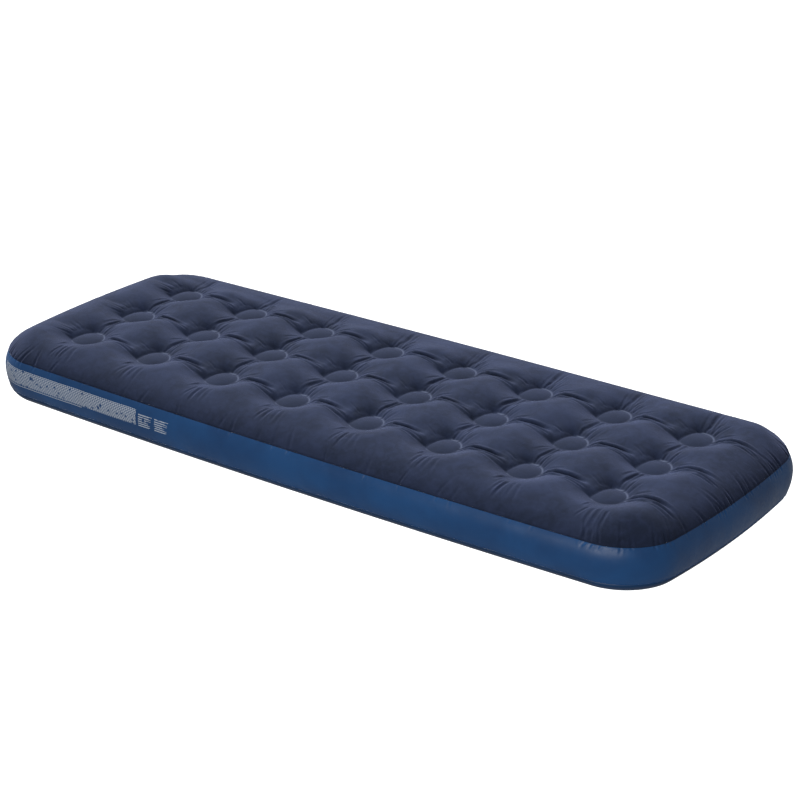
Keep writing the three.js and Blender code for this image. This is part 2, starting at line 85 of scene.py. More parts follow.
BOTTOM_PAD_Z = beam_boxes[0][0][0].z - CONTACT_GAP - SHEET

# ---- Shape of the inflated chamber, as the CAD has it except for the lower seam ----

HALF_LENGTH = 0.925
HALF_WIDTH = 0.365
CORNER = 0.130  # radius of the corners in plan
END_BARREL = 0.029  # the ends draw in by this share of the half length at the corners
SIDE_BARREL = 0.05  # the long sides draw in by this share of the half width at the corners
BARREL_FADE = (0.035, 0.115)  # the barrel dies out between these insets
PAD_RADIUS = 0.034  # of the coil beams' ends
WIDEST_Z = 0.065
CREST_Z = 0.150  # height at which the rolled upper edge levels out
ROLL_IN = 0.120  # how far in that is
CURL_IN = 0.035  # how far in the curled lower edge levels out
TOP_SEAM_Z = 0.102
BOTTOM_SEAM_Z = 0.022  # 8 mm lower than in the CAD, as the photo has it
LAP_GAP = 0.0004  # between the top sheet and the band behind its edge
CELLS_X = COLUMNS * PITCH_X
CELLS_Y = ROWS * PITCH_Y

# ---- Fineness of the meshes ----

TOP_MESH = {"fine": 0.0017, "coarse": 0.0036}  # fine along the lines through the pads and at the corners
BOTTOM_MESH = {"fine": 0.0034, "coarse": 0.0090}
FINE_HALF = 0.030  # half width of the fine strip along each line of pads
FINE_END = 0.062  # the fine strip along the edge of the pillow cells
MARGIN_ROWS = 34
BOTTOM_MARGIN_ROWS = 20
BAND_ROWS = 50


# ---- Camera ----

AZIMUTH = math.radians(36.66)
ELEVATION = math.radians(23.22)
DISTANCE = 5.377
SENSOR = 36
LENS = 107.93
AIM = Vector((MIDDLE_X, 0, 0.1))
AIM_RIGHT = 0.04703
AIM_UP = -0.00776


def add_object(name, data):
    obj = bpy.data.objects.new(name, data)
    bpy.context.scene.collection.objects.link(obj)
    return obj


def add_camera():
    back = Vector((
        math.sin(AZIMUTH) * math.cos(ELEVATION),
        -math.cos(AZIMUTH) * math.cos(ELEVATION),
        math.sin(ELEVATION)))
    right = Vector((math.cos(AZIMUTH), math.sin(AZIMUTH), 0))
    up = back.cross(right)
    camera = add_object("camera", bpy.data.cameras.new("camera"))
    camera.data.lens = LENS
    camera.data.sensor_width = SENSOR
    camera.data.clip_end = 100
    camera.location = AIM + AIM_RIGHT * right + AIM_UP * up + DISTANCE * back
    camera.rotation_euler = (-back).to_track_quat("-Z", "Y").to_euler()
    bpy.context.scene.camera = camera


add_camera()


# ---- Mesh helpers ----

def mesh_object(name, points, faces, material, smooth=True):
    mesh = bpy.data.meshes.new(name)
    mesh.from_pydata(points, [], faces, shade_flat=not smooth)
    mesh.validate()
    mesh.materials.append(material)
    return add_object(name, mesh)


def set_attribute(obj, name, values):
    attribute = obj.data.attributes.new(name, "FLOAT", "POINT")
    attribute.data.foreach_set("value", np.asarray(values, np.float32))


def faces_between(rings, closed=True):
    """Quads between rows of point indices. A closed row joins its last point to its first."""
    ahead = np.roll(rings, -1, axis=1)
    if not closed:
        rings, ahead = rings[:, :-1], ahead[:, :-1]
    return np.stack([rings[:-1], ahead[:-1], ahead[1:], rings[1:]], -1).reshape(-1, 4)


def grid_index(rows, columns):
    """Indices of a grid of points stored row by row."""
    return np.arange(rows * columns).reshape(rows, columns)


def smoothstep(low, high, value):
    t = np.clip((value - low) / (high - low), 0, 1)
    return t * t * (3 - 2 * t)


# ---- Plan of the mattress ----
# Flat points lie on the plan before it barrels outwards. barrelled() gives where they really are.

def inset_of(flat):
    """How far each flat point lies inside the rounded rectangle."""
    over = np.abs(flat) - [HALF_LENGTH - CORNER, HALF_WIDTH - CORNER]
    outside = np.linalg.norm(np.maximum(over, 0), axis=-1)
    return CORNER - outside - np.minimum(over.max(axis=-1), 0)


def barrelled(flat, inset):
    along = flat[..., 0] / HALF_LENGTH
    across = flat[..., 1] / HALF_WIDTH
    drawn = np.stack([flat[..., 0] * (1 - END_BARREL * across ** 2),
                      flat[..., 1] * (1 - SIDE_BARREL * along ** 2)], -1)
    hold = 1 - smoothstep(*BARREL_FADE, inset)
    return flat + (drawn - flat) * hold[..., None]


def graded(count, pitch, fine, coarse):
    """Grid lines along one axis: fine along every line of pads and at both ends, coarse between."""
    half = count * pitch / 2
    centres = (np.arange(count) - (count - 1) / 2) * pitch
    lines = [-half]
    while lines[-1] < half - 1e-6:
        here = lines[-1]
        near_pad = np.abs(centres - here).min() < FINE_HALF
        near_end = half - abs(here) < FINE_END
        lines.append(here + (fine if near_pad or near_end else coarse))
    lines = np.array(lines)
    lines = (lines - lines[::-1]) / 2
    return lines * half / lines[-1]


# The four sides in turn, anticlockwise from the front, which faces -Y. Each has its half length, how
# far out it lies, the half length where grid lines run straight out, and the step of the band's mesh.
SIDES = [dict(zip(("half", "reach", "keep", "step", "along", "out"), side)) for side in (
    (HALF_LENGTH, HALF_WIDTH, 0.62, 0.0020, (1, 0), (0, -1)),
    (HALF_WIDTH, HALF_LENGTH, 0.10, 0.0020, (0, 1), (1, 0)),
    (HALF_LENGTH, HALF_WIDTH, 0.62, 0.0030, (-1, 0), (0, 1)),
    (HALF_WIDTH, HALF_LENGTH, 0.10, 0.0013, (0, -1), (-1, 0)),
)]


def side_run(side):
    """Half the length of one side's outline, up to the middle of the corner arcs at its ends."""
    return side["half"] - CORNER + CORNER * math.pi / 4


def side_points(side, run):
    """Points of the outline at distances from the middle of one side, and the way inwards from them."""
    along, out = np.array(side["along"]), np.array(side["out"])
    straight = side["half"] - CORNER
    angle = np.maximum(np.abs(run) - straight, 0) / CORNER
    x = np.sign(run) * (np.minimum(np.abs(run), straight) + CORNER * np.sin(angle))
    y = side["reach"] - CORNER * (1 - np.cos(angle))
    outer = x[:, None] * along + y[:, None] * out
    inward = -(np.sign(run) * np.sin(angle))[:, None] * along - np.cos(angle)[:, None] * out
    return outer, inward


class Outline:
    """Stations round the chamber: their flat points, the way inwards, and how far along they lie."""

    def __init__(self, runs):
        outer, inward, travel, passed = [], [], [], 0.0
        for side, run in zip(SIDES, runs):
            points, ways = side_points(side, run)
            outer.append(points)
            inward.append(ways)
            travel.append(passed + side_run(side) + run)
            passed += 2 * side_run(side)
        self.outer, self.inward, self.travel = map(np.concatenate, (outer, inward, travel))
        self.count = len(self.outer)

    def at(self, inset):
        """The real places of the stations, drawn in by an inset each."""
        inset = np.broadcast_to(inset, self.count)
        return barrelled(self.outer + inset[:, None] * self.inward, inset)


def fanned(side, lines):
    """Lines run straight out in the middle of a side, and fan out towards its corners."""
    beyond = np.maximum(np.abs(lines) - side["keep"], 0)
    last = abs(lines[0]) - side["keep"]
    fan = (side_run(side) - abs(lines[0])) / last ** 2
    return np.sign(lines) * (np.abs(lines) + fan * beyond ** 2)


class Plan:
    """Grid lines over the pillow cells, and the outline stations that the lines run out to."""

    def __init__(self, fine, coarse):
        self.lines_x = graded(COLUMNS, PITCH_X, fine, coarse)
        self.lines_y = graded(ROWS, PITCH_Y, fine, coarse)
        runs, edge = [], []
        for side in SIDES:
            long = side["half"] == HALF_LENGTH
            lines = (self.lines_x if long else self.lines_y)[:-1]
            reach = (CELLS_Y if long else CELLS_X) / 2
            edge.append(lines[:, None] * np.array(side["along"]) + reach * np.array(side["out"]))
            runs.append(fanned(side, lines))
        self.edge = np.concatenate(edge)
        self.outline = Outline(runs)


def side_inset(z):
    """The side's section is a quarter ellipse over the widest line and another under it."""
    over = np.sqrt(1 - (np.maximum(z - WIDEST_Z, 0) / (CREST_Z - WIDEST_Z)) ** 2)
    under = np.sqrt(1 - (np.maximum(WIDEST_Z - z, 0) / WIDEST_Z) ** 2)
    return np.where(z > WIDEST_Z, ROLL_IN * (1 - over), CURL_IN * (1 - under))


# ---- Folds ----

chance = np.random.default_rng(23)

LIP_PLACE, LIP_WIDTH, LIP_HEIGHT = 1.9, 0.8, 0.45  # as shares of the groove's width and depth
FOLD_REACH = 3.5  # a fold reaches this many widths to either side
FOLD_START = 0.1  # and has its full depth from this share of its length


def groove(across):
    """Section of a fold: a narrow groove between two low lips."""
    lips = np.exp(-((np.abs(across) - LIP_PLACE) / LIP_WIDTH) ** 2)
    return np.exp(-across ** 2) - LIP_HEIGHT * lips


def press_fold(height, place, start, end, width, depth, tail):
    """Presses one fold into the heights, straight in plan, dying away from the share tail onwards."""
    length = np.linalg.norm(end - start)
    along = (end - start) / length
    low, high = np.minimum(start, end) - FOLD_REACH * width, np.maximum(start, end) + FOLD_REACH * width
    near = np.flatnonzero(((place > low) & (place < high)).all(axis=-1))
    offset = place[near] - start
    u = offset @ along / length
    v = offset @ np.array([-along[1], along[0]])
    fade = smoothstep(0, FOLD_START, u) * (1 - smoothstep(tail, 1, u))
    height[near] -= depth * fade * groove(v / width)


# Folds round a pad, in millimetres from its centre: start, end, width, depth, and where the tail begins.
ROW_FOLDS = [  # over the saddle to the next pad along the row
    ((33, 3), (168, -8), 4.6, 6.2, 0.42),
    ((46, -11), (112, -19), 2.5, 1.8, 0.5),
    ((104, -15), (164, -22), 2.4, 1.7, 0.7),
    ((98, -26), (160, -33), 2.3, 1.5, 0.7),
    ((42, 19), (86, 24), 2.4, 1.2, 0.5),
]
FRONT_FOLDS = [  # down the pillows' shoulders to the pad in front
    ((2, -44), (-10, -136), 3.4, 2.9, 0.6),
    ((14, -42), (6, -124), 2.7, 2.0, 0.55),
    ((-12, -38), (-24, -112), 2.5, 1.4, 0.5),
    ((27, -34), (25, -98), 2.4, 1.2, 0.5),
]
BACK_FOLDS = [  # a short fan behind the pad
    ((12, 34), (25, 76), 2.7, 1.6, 0.5),
    ((24, 27), (48, 60), 2.5, 1.5, 0.5),
    ((-5, 36), (-3, 68), 2.3, 1.0, 0.5),
    ((-34, 14), (-72, 24), 2.3, 1.0, 0.5),
]
SHOULDER_FOLDS = [  # the front row has no pads in front, so its folds fan out and soon die away
    ((0, -44), (-10, -112), 2.8, 2.2, 0.5),
    ((9, -96), (2, -148), 2.8, 1.6, 0.4),
    ((24, -98), (20, -154), 3.0, 2.2, 0.4),
    ((39, -96), (40, -152), 2.8, 2.0, 0.4),
    ((54, -98), (59, -152), 2.8, 1.6, 0.4),
]
END_FOLDS = [  # the first column has no pads beside it, so its folds are faint as well
    ((-42, -10), (-92, -16), 2.5, 1.3, 0.4),
    ((-40, -22), (-84, -38), 2.4, 1.5, 0.4),
    ((-43, 4), (-80, 6), 2.3, 1.0, 0.4),
]
BACK_SHARE = 0.5  # depth of the back row's folds out to the seam, as a share of those in front
STRAY = 3.5  # the ends of the folds stray by up to this many millimetres,
START_STRAY, END_STRAY = 0.4, 1.6  # times these
DEEP_FOLD = 3  # folds from this depth on vary less in strength
DEEP_STRENGTH, SHALLOW_STRENGTH = (0.8, 1.15), (0.65, 1.25)
WIDENING = (0.85, 1.2)


def folds_round(row, column):
    """The folds of one pad. Pads of the front row, the back row and the first column have their own."""
    folds = ROW_FOLDS + (SHOULDER_FOLDS if row == 0 else FRONT_FOLDS) + BACK_FOLDS
    if column == 0:
        folds = folds + END_FOLDS
    if row == ROWS - 1:
        folds = folds + [((a, -b), (c, -d), width, BACK_SHARE * depth, tail)
                         for (a, b), (c, d), width, depth, tail in FRONT_FOLDS]
    return folds


def fold_round_pads(height, place):
    for row in range(ROWS):
        for column in range(COLUMNS):
            for start, end, width, depth, tail in folds_round(row, column):
                stray = chance.uniform(-STRAY, STRAY, 4)
                start = PADS[row, column] + (np.array(start) + START_STRAY * stray[:2]) / 1000
                end = PADS[row, column] + (np.array(end) + END_STRAY * stray[2:]) / 1000
                strength = chance.uniform(*(SHALLOW_STRENGTH if depth < DEEP_FOLD else DEEP_STRENGTH))
                press_fold(height, place, start, end, width * chance.uniform(*WIDENING) / 1000,
                           strength * depth / 1000, tail)


# ---- Puckers along the seams ----

AROUND = sum(2 * side_run(side) for side in SIDES)
SIDE_DEPTH = 0.55  # the long sides pucker less deeply than the ends,
END_REACH = 1.3  # which reach this many corner radii along them
MOST_SLANT = 0.35
PUCKER_WIDTH = (0.0022, 0.0036)
PUCKER_DEPTH = (0.35, 1)  # as shares of the deepest
PUCKER_STEP = (0.4, 1.5)  # as shares of the spacing asked for
GAP_CHANCE = 0.25  # of a wider gap after a pucker
PUCKER_REACH = 0.022  # along the seam
PUCKER_START = 0.0025  # a pucker has its full depth this far from the seam


def pucker_list(at_ends, at_sides, shortest, longest, deepest):
    """Places along the outline where the sheets pucker at a seam, closer together round the ends."""
    puckers = []
    travel = 0.0
    while travel < AROUND:
        along_front = abs(travel - side_run(SIDES[0]))
        along_back = abs(travel - AROUND + side_run(SIDES[0]) + 2 * side_run(SIDES[1]))
        on_side = min(along_front, along_back) < HALF_LENGTH - END_REACH * CORNER
        puckers.append({
            "travel": travel,
            "slant": chance.uniform(-MOST_SLANT, MOST_SLANT),
            "width": chance.uniform(*PUCKER_WIDTH),
            "length": chance.uniform(shortest, longest),
            "depth": chance.uniform(*PUCKER_DEPTH) * deepest * (SIDE_DEPTH if on_side else 1),
        })
        travel += chance.uniform(*PUCKER_STEP) * (at_sides if on_side else at_ends)
        if chance.random() < GAP_CHANCE:
            travel += 2 * at_ends
    return puckers


def pucker_depth(puckers, travel, distance, shrink=1.0):
    """How far in each point is drawn, from its travel and its distance from the seam."""
    depth = np.zeros(distance.shape)
    for pucker in puckers:
        near = np.flatnonzero(np.abs(travel - pucker["travel"]) < PUCKER_REACH)
        away = distance[:, near]
        length = shrink * pucker["length"]
        across = (travel[near] - pucker["travel"] - pucker["slant"] * away) / pucker["width"]
        fade = smoothstep(0, PUCKER_START, away) * np.exp(-(away / length) ** 2)
        depth[:, near] += pucker["depth"] * fade * groove(across)
    return depth


TOP_PUCKERS = pucker_list(at_ends=0.017, at_sides=0.085, shortest=0.012, longest=0.046, deepest=0.0029)
BOTTOM_PUCKERS = pucker_list(at_ends=0.016, at_sides=0.030, shortest=0.003, longest=0.007, deepest=0.0009)


# ---- Top sheet ----

WELD_RADIUS = 0.038
WELDS = PADS + [-0.004, -0.003]  # the welds lie a little beside the beams, which lean
TOP_PULL = 0.096  # reach of a weld's pull on the top sheet, beyond its edge
VALLEY_PULL = 0.030  # the same along the valleys from pad to pad, which soon level out
VALLEY_X = 0.50  # height of the valleys along the rows of pads, as a share of the pillows' height
VALLEY_Y = 0.31  # and of those across the rows
VALLEY_WIDTH = 0.024
VALLEY_POWER = 1.35  # 1 would be a crease, and 2 a round valley
VALLEY_FADE = 0.125  # the valleys run this far out from the outer pads
FAR_WALL, NEAR_WALL = 0.66, 1.35  # walls rise more steeply from a pad the smaller this is
NEAR_WAY = np.array([0.6, -0.8])  # the beams lean a little, so walls on this side of the pads are gentle
WALL_TURN = (-0.6, 0.9)  # cosines of the angles to it between which the walls change
PILLOW_RISE = (0.5, 1.5)  # shares of ROLL_IN between which the pillows rise over the crest
PULL_START = (0.035, 0.075)  # the welds' pull sets in between these insets
PAD_CROWN = 0.0062  # the air bulges each pad up inside its weld
PAD_FADE = 0.004  # width over which the pads' crushed flock and their painted pit shade die out
LAP_WAY = np.array([-0.973, 0.228])  # the pillow on this side bulges over the edge of each pad
LAP_START = 0.022  # and hides what lies further out than this from the pad's centre
RIM_HEIGHT = 0.0013  # bead of the weld round each pad
RIM_WIDTH = 0.0014
RIM_OUT = 0.3  # the bead's middle lies this share of its width outside the weld
RIM_FADE = (LAP_START - 0.012, LAP_START - 0.003)  # the bead dives under the lap here
RIM_LOST = 0.7  # share of the bead and of its painted highlight that is lost on the near side,
RIM_LOST_OVER = 0.8  # over this share of the weld's radius
SLACK = 0.33  # the back edge is softer towards -X: it loses this share of its height over the seam
SLACK_END = 0.72  # from here on it is as firm as the rest
SLACK_LENGTH, SLACK_POWER = 1.20, 0.75
SLACK_START, SLACK_FULL = 0.020, 0.085  # where this begins and is complete, behind the back row of pads
HEM_IN, HEM_UP = 0.012, 0.005  # the top sheet's edge is turned under by this much


def past_pad(place, pad):
    """How far each point lies beyond the visible edge of a pad."""
    offset = place - pad
    return np.maximum(np.linalg.norm(offset, axis=-1) - WELD_RADIUS, offset @ LAP_WAY - LAP_START)


def wall_shape(place, pad):
    """The power that shapes the wall round a pad, between those of its near side and its far side."""
    offset = place - pad
    way = offset @ NEAR_WAY / np.maximum(np.linalg.norm(offset, axis=-1), 1e-9)
    return FAR_WALL + (NEAR_WALL - FAR_WALL) * smoothstep(*WALL_TURN, way)


def pillow_share(place, pads, pull, shape=None, edge=past_pad):
    """How much of the full height is left: 0 on a pad, 1 beyond its pull."""
    share = np.ones(place.shape[:-1])
    for pad in pads.reshape(-1, 2):
        beyond = np.maximum(edge(place, pad), 0) / pull
        here = 1 - np.maximum(1 - beyond, 0) ** 2
        share *= here ** shape(place, pad) if shape else here
    return share


def valleys(place):
    """How much each point belongs to one of the sharp valleys along and across the rows of pads, and
    how high the valley's floor is, as a share of the pillows' height."""
    weight = np.zeros(place.shape[:-1])
    floor = np.zeros(place.shape[:-1])
    for axis, level in ((1, VALLEY_X), (0, VALLEY_Y)):
        lines = PADS[:, 0, 1] if axis == 1 else PADS[0, :, 0]
        other = place[..., 1 - axis]
        ends = (PADS[0, 0, 1 - axis], PADS[-1, -1, 1 - axis])
        past = np.maximum(np.maximum(ends[0] - other, other - ends[1]) - PAD_RADIUS, 0)
        rise = level + (1 - level) * smoothstep(0, VALLEY_FADE, past)
        for line in lines:
            across = np.abs(place[..., axis] - line) / VALLEY_WIDTH
            here = np.exp(-across ** VALLEY_POWER)
            floor += here * rise
            weight += here
    return np.minimum(weight, 1), floor / np.maximum(weight, 1e-9)


def pad_detail(place):
    """The crown of every pad, and how much each point belongs to the bead of its weld and to the pad."""
    detail, bead_and_highlight, pressed_and_shaded = (np.zeros(place.shape[:-1]) for _ in range(3))
    for pad in WELDS.reshape(-1, 2):
        radius = np.linalg.norm(place - pad, axis=-1)
        detail += PAD_CROWN * np.maximum(1 - (radius / WELD_RADIUS) ** 2, 0)
        # share of each pad, which darkens the flock: crushed flock and painted shade of the pit round the
        # pad
        pressed_and_shaded += 1 - smoothstep(0, PAD_FADE, past_pad(place, pad))
        shown = 1 - smoothstep(*RIM_FADE, (place - pad) @ LAP_WAY)
        shown *= 1 - RIM_LOST * smoothstep(0, RIM_LOST_OVER * WELD_RADIUS, (place - pad) @ NEAR_WAY)
        # the bead's share also lightens the flock: flattened flock and a painted highlight along the bead
        bead_and_highlight += shown * np.exp(-((radius - WELD_RADIUS - RIM_OUT * RIM_WIDTH) / RIM_WIDTH) ** 2)
    return detail + RIM_HEIGHT * bead_and_highlight, bead_and_highlight, pressed_and_shaded


def top_height(place, inset):
    """Heights of the top sheet, and how much each point belongs to a weld's bead and to a pad."""
    t = 1 - np.clip(inset / ROLL_IN, 0, 1)
    roll = WIDEST_Z + (CREST_Z - WIDEST_Z) * np.sqrt(1 - t ** 2)
    full = roll + (PILLOW_Z - CREST_Z) * smoothstep(*PILLOW_RISE, inset / ROLL_IN)
    weight, floor = valleys(place)
    dome = pillow_share(place, WELDS, TOP_PULL, wall_shape)
    share = dome + (np.minimum(floor * pillow_share(place, WELDS, VALLEY_PULL), dome) - dome) * weight
    pulled = TOP_PAD_Z + (full - TOP_PAD_Z) * share
    height = full + (pulled - full) * smoothstep(*PULL_START, inset)
    soft = np.clip((SLACK_END - place[..., 0]) / SLACK_LENGTH, 0, 1) ** SLACK_POWER
    soft *= smoothstep(SLACK_START, SLACK_FULL, place[..., 1] - PADS[-1, 0, 1])
    height -= SLACK * soft * np.maximum(height - TOP_SEAM_Z, 0)
    fold_round_pads(height, place)
    detail, bead_and_highlight, pressed_and_shaded = pad_detail(place)
    return height + detail, bead_and_highlight, pressed_and_shaded


SEAM_INSET = float(side_inset(TOP_SEAM_Z))


def border_loop(index):
    """Indices round the edge of a grid of points, anticlockwise from its first corner."""
    return np.concatenate([index[0, :-1], index[:-1, -1], index[-1, :0:-1], index[:0:-1, 0]])


def sheet_plan(plan, seam_inset, margin_rows):
    """A sheet over the whole chamber: its points' places in plan, how far in they lie, its quads, which
    face up, and its last ring."""
    cells = np.stack(np.meshgrid(plan.lines_x, plan.lines_y), -1)
    seam = plan.outline.outer + seam_inset * plan.outline.inward
    shares = (np.arange(margin_rows) + 1) / margin_rows
    margin = plan.edge + (seam - plan.edge) * shares[:, None, None]
    flat = np.concatenate([cells.reshape(-1, 2), margin.reshape(-1, 2)])
    index = grid_index(*cells.shape[:2])
    margin_index = index.size + grid_index(margin_rows, plan.outline.count)
    rings = np.concatenate([border_loop(index)[None], margin_index])
    faces = np.concatenate([faces_between(index, closed=False), faces_between(rings)[:, ::-1]])
    inset = inset_of(flat)
    return barrelled(flat, inset), inset, faces, rings[-1]


def hem(outline, points, faces, last, insets, heights):
    """Turns a sheet's edge under, with one ring of points for each inset and height given."""
    rings = [last]
    for inset, z in zip(insets, heights):
        rings.append(len(points) + np.arange(outline.count))
        points = np.concatenate([points, np.column_stack([outline.at(inset), np.full(outline.count, z)])])
    return points, np.concatenate([faces, faces_between(np.array(rings))[:, ::-1]])


def finish_piece(obj, body, slot, *nodes):
    """The piece moves with a body and stands for CAD nodes. Its slot is not used."""
    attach(obj, body)
    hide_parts(*nodes)


def top_sheet(material):
    plan = Plan(**TOP_MESH)
    outline = plan.outline
    place, inset, faces, last = sheet_plan(plan, SEAM_INSET, MARGIN_ROWS)
    height, bead_and_highlight, pressed_and_shaded = top_height(place, inset)
    points = np.column_stack([place, height])
    # Puckers draw the margin in along the normal of the rolled edge.
    margin = points[-MARGIN_ROWS * outline.count:].reshape(MARGIN_ROWS, -1, 3)
    depth_in = inset[-MARGIN_ROWS * outline.count:].reshape(MARGIN_ROWS, -1)
    distance = np.hypot(depth_in - SEAM_INSET, margin[..., 2] - TOP_SEAM_Z)
    drawn = pucker_depth(TOP_PUCKERS, outline.travel, distance)
    t = 1 - np.clip(depth_in / ROLL_IN, 0, 1)
    slope = np.arctan2(np.sqrt(1 - t ** 2) / (CREST_Z - WIDEST_Z), t / ROLL_IN)
    margin[..., :2] += (drawn * np.cos(slope))[..., None] * outline.inward
    margin[..., 2] -= drawn * np.sin(slope)
    points, faces = hem(outline, points, faces, last,
                        [SEAM_INSET + SHEET, SEAM_INSET + HEM_IN], [TOP_SEAM_Z, TOP_SEAM_Z + HEM_UP])
    obj = mesh_object("flocked_top", points + [MIDDLE_X, 0, 0], faces, material)
    in_hem = len(points) - len(bead_and_highlight)
    # lightens the flock: flattened flock on the beads and the seam, and a painted highlight along the
    # beads
    set_attribute(obj, "weld", np.concatenate([bead_and_highlight, np.ones(in_hem)]))
    # darkens the pads in the finish: crushed flock and painted shade of their pits
    set_attribute(obj, "pressed_and_shaded", np.concatenate([pressed_and_shaded, np.zeros(in_hem)]))
    finish_piece(obj, "mattress", "navy_flock", "top_sheet")


# ---- Side band ----

BAND_IN, BAND_UP = 0.010, 0.004  # the band runs this far in and up behind the top sheet
TUCK = 0.008  # and this far down past the lower seam, behind the bottom sheet
TUCK_IN = 3 * SHEET
SHORTER = 0.2  # the upper seam's puckers are this share as long on the band as on the top sheet
BELLY_EDGE = 0.012  # the band's slow waves fade in over this distance from the seams
BELLY_WAVES = ((17, 0.0005), (31, 0.0004), (58, 0.00025))  # how many go round, and how deep they are
NECK_RADIUS = 0.020
PATCH_RADIUS = 0.034  # the wall is drawn flat round the valve
PATCH_FLAT = 0.72  # quite flat up to this share of that radius
PATCH_WELD = 0.0262  # radius of the weld round the valve's flange
PATCH_WELD_DEPTH, PATCH_WELD_WIDTH = 0.0006, 0.0009


def flatten_for_valve(points):
    """Draws the wall flat round the valve, with the ring of the flange's weld sunk in."""
    radius = np.linalg.norm(points[:, 1:] - VALVE[1:], axis=1)
    near = (radius < PATCH_RADIUS) & (points[:, 0] < 0)
    hold = 1 - smoothstep(PATCH_FLAT, 1, radius[near] / PATCH_RADIUS)
    points[near, 0] += (VALVE.x - points[near, 0]) * hold
    points[near, 0] += PATCH_WELD_DEPTH * np.exp(-((radius[near] - PATCH_WELD) / PATCH_WELD_WIDTH) ** 2)


def cut_valve_hole(points, faces):
    """Opens a round hole for the valve's neck, and drops the points inside it."""
    offset = points[:, 1:] - VALVE[1:]
    radius = np.linalg.norm(offset, axis=1)
    hole = NECK_RADIUS + CONTACT_GAP
    inside = (radius < hole) & (points[:, 0] < 0)
    faces = faces[~inside[faces].all(axis=1)]
    points[inside, 1:] = VALVE[1:] + offset[inside] * (hole / np.maximum(radius[inside], 1e-9))[:, None]
    kept, faces = np.unique(faces, return_inverse=True)
    return points[kept], faces.reshape(-1, 4), kept


def side_band(material):
    halves = [(side_run(side), side["step"]) for side in SIDES]
    outline = Outline([np.linspace(-half, half, round(2 * half / step), endpoint=False)
                       for half, step in halves])
    wall = TOP_SEAM_Z + (BOTTOM_SEAM_Z - TOP_SEAM_Z) * np.arange(BAND_ROWS + 1) / BAND_ROWS
    tuck_z = BOTTOM_SEAM_Z - TUCK
    rises = np.concatenate([[TOP_SEAM_Z + BAND_UP], wall, [tuck_z]])
    insets = np.concatenate([[SEAM_INSET + BAND_IN], side_inset(wall) + SHEET + LAP_GAP,
                             [side_inset(tuck_z) + TUCK_IN]])
    shape = (len(rises), outline.count)
    below_top = np.broadcast_to(np.maximum(TOP_SEAM_Z - rises, 0)[:, None], shape)
    above_bottom = np.broadcast_to(np.maximum(rises - BOTTOM_SEAM_Z, 0)[:, None], shape)
    drawn = pucker_depth(TOP_PUCKERS, outline.travel, below_top, SHORTER)
    drawn += pucker_depth(BOTTOM_PUCKERS, outline.travel, above_bottom)
    belly = smoothstep(0, BELLY_EDGE, below_top) * smoothstep(0, BELLY_EDGE, above_bottom)
    for waves, size in BELLY_WAVES:
        turn = 2 * math.pi * waves * outline.travel / AROUND + chance.uniform(0, 6)
        drawn += size * belly * np.sin(turn)
    rows = [np.column_stack([outline.at(inset + row), np.full(outline.count, z)])
            for inset, row, z in zip(insets, np.maximum(drawn, -SHEET), rises)]
    points = np.concatenate(rows) + [MIDDLE_X, 0, 0]
    faces = faces_between(grid_index(*shape))[:, ::-1]
    flatten_for_valve(points)
    points, faces, kept = cut_valve_hole(points, faces)
    obj = mesh_object("blue_side_band", points, faces, material)
    set_attribute(obj, "travel", np.tile(outline.travel, len(rows))[kept])
    set_attribute(obj, "rise", points[:, 2])
    finish_piece(obj, "mattress", "blue_pvc", "side_band")


# ---- Bottom sheet ----

BOTTOM_PULL = 0.051  # reach of a beam's pull on the bottom sheet
FLOOR_PRESS = 0.0006  # the floor presses the pillows flat by this much
HEM_DOWN = 0.7 * TUCK  # the sheet's edge is turned under by this much, outside the band's tuck


def round_edge(place, pad):
    return np.linalg.norm(place - pad, axis=-1) - PAD_RADIUS


def bottom_sheet(material):
    seam_inset = float(side_inset(BOTTOM_SEAM_Z))
    plan = Plan(**BOTTOM_MESH)
    place, inset, faces, last = sheet_plan(plan, seam_inset, BOTTOM_MARGIN_ROWS)
    t = 1 - np.clip(inset / CURL_IN, 0, 1)
    curl = WIDEST_Z * (1 - np.sqrt(1 - t ** 2))
    pulled = BOTTOM_PAD_Z * (1 - pillow_share(place, PADS, BOTTOM_PULL, edge=round_edge)) - FLOOR_PRESS
    points = np.column_stack([place, np.maximum(np.maximum(pulled, curl), 0)])
    hem_z = BOTTOM_SEAM_Z - HEM_DOWN
    points, faces = hem(plan.outline, points, faces, last,
                        [seam_inset + SHEET, side_inset(hem_z) + SHEET], [BOTTOM_SEAM_Z, hem_z])
    obj = mesh_object("blue_bottom", points + [MIDDLE_X, 0, 0], faces[:, ::-1], material)
    finish_piece(obj, "mattress", "blue_pvc", "bottom_sheet")


# ---- Materials ----

def linear(colour):
    """A colour given as six hexadecimal digits, in linear light."""
    parts = [int(colour[i:i + 2], 16) / 255 for i in (0, 2, 4)]
    return [p / 12.92 if p <= 0.04045 else ((p + 0.055) / 1.055) ** 2.4 for p in parts] + [1]


